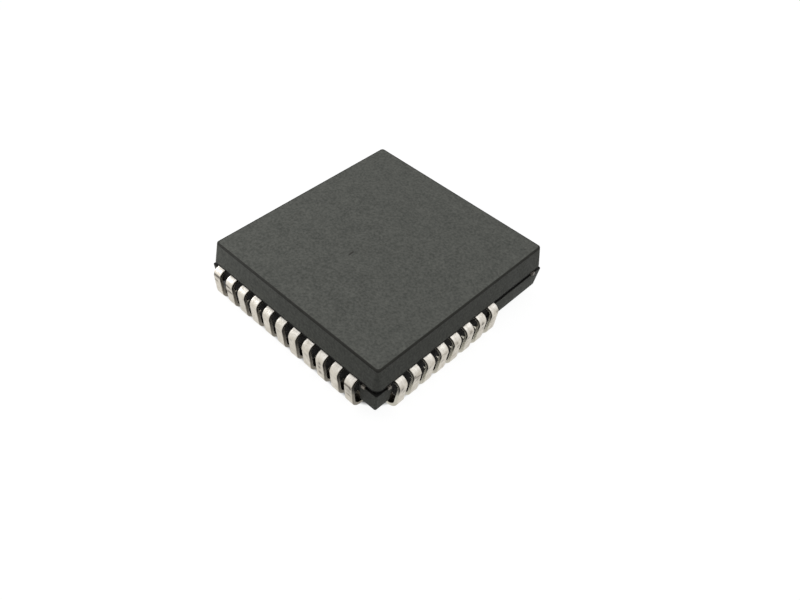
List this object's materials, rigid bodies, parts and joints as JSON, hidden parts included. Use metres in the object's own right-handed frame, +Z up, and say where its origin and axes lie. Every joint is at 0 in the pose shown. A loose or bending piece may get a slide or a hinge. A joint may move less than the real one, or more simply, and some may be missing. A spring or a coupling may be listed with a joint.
{
  "type": "plastic leaded chip carrier",
  "caption": "Flat dark moulded chip package with flared upper half, parting groove and rows of bright J-shaped leads curled under its recessed sides.",
  "frame": {"origin": "on the seating plane under the middle of the body", "axes": "+Z up out of the top face, -Y towards the full front row of leads, +X towards the row that stops short of the corner"},
  "size_m": [0.0166, 0.0176, 0.0044],
  "materials": {
    "mould_compound": "fine matte grain, dark grey",
    "tin_plate": "bright tin plate with small marks",
    "frame_metal": "plain copper alloy, plated",
    "die_glue": "matte silver-filled glue",
    "silicon": "polished silicon",
    "gold_wire": "bright gold wire"
  },
  "bodies": {
    "root": {"moulded_body": "mould_compound", "die_pad": "frame_metal", "die_attach": "die_glue", "die": "silicon", "bond_wires": "gold_wire", "lead_07": "tin_plate", "lead_08": "tin_plate", "lead_09": "tin_plate", "lead_10": "tin_plate", "lead_11": "tin_plate", "lead_12": "tin_plate", "lead_13": "tin_plate", "lead_14": "tin_plate", "lead_15": "tin_plate", "lead_16": "tin_plate", "lead_17": "tin_plate", "lead_18": "tin_plate", "lead_19": "tin_plate", "lead_20": "tin_plate", "lead_21": "tin_plate", "lead_22": "tin_plate", "lead_23": "tin_plate", "lead_24": "tin_plate", "lead_25": "tin_plate", "lead_29": "tin_plate", "lead_30": "tin_plate", "lead_31": "tin_plate", "lead_32": "tin_plate", "lead_33": "tin_plate", "lead_34": "tin_plate", "lead_35": "tin_plate", "lead_36": "tin_plate", "lead_37": "tin_plate", "lead_38": "tin_plate", "lead_39": "tin_plate", "lead_40": "tin_plate", "lead_41": "tin_plate", "lead_42": "tin_plate", "lead_43": "tin_plate", "lead_44": "tin_plate", "lead_01": "tin_plate", "lead_02": "tin_plate", "lead_03": "tin_plate", "lead_04": "tin_plate", "lead_05": "tin_plate", "lead_06": "tin_plate"}
  },
  "joints": []
}
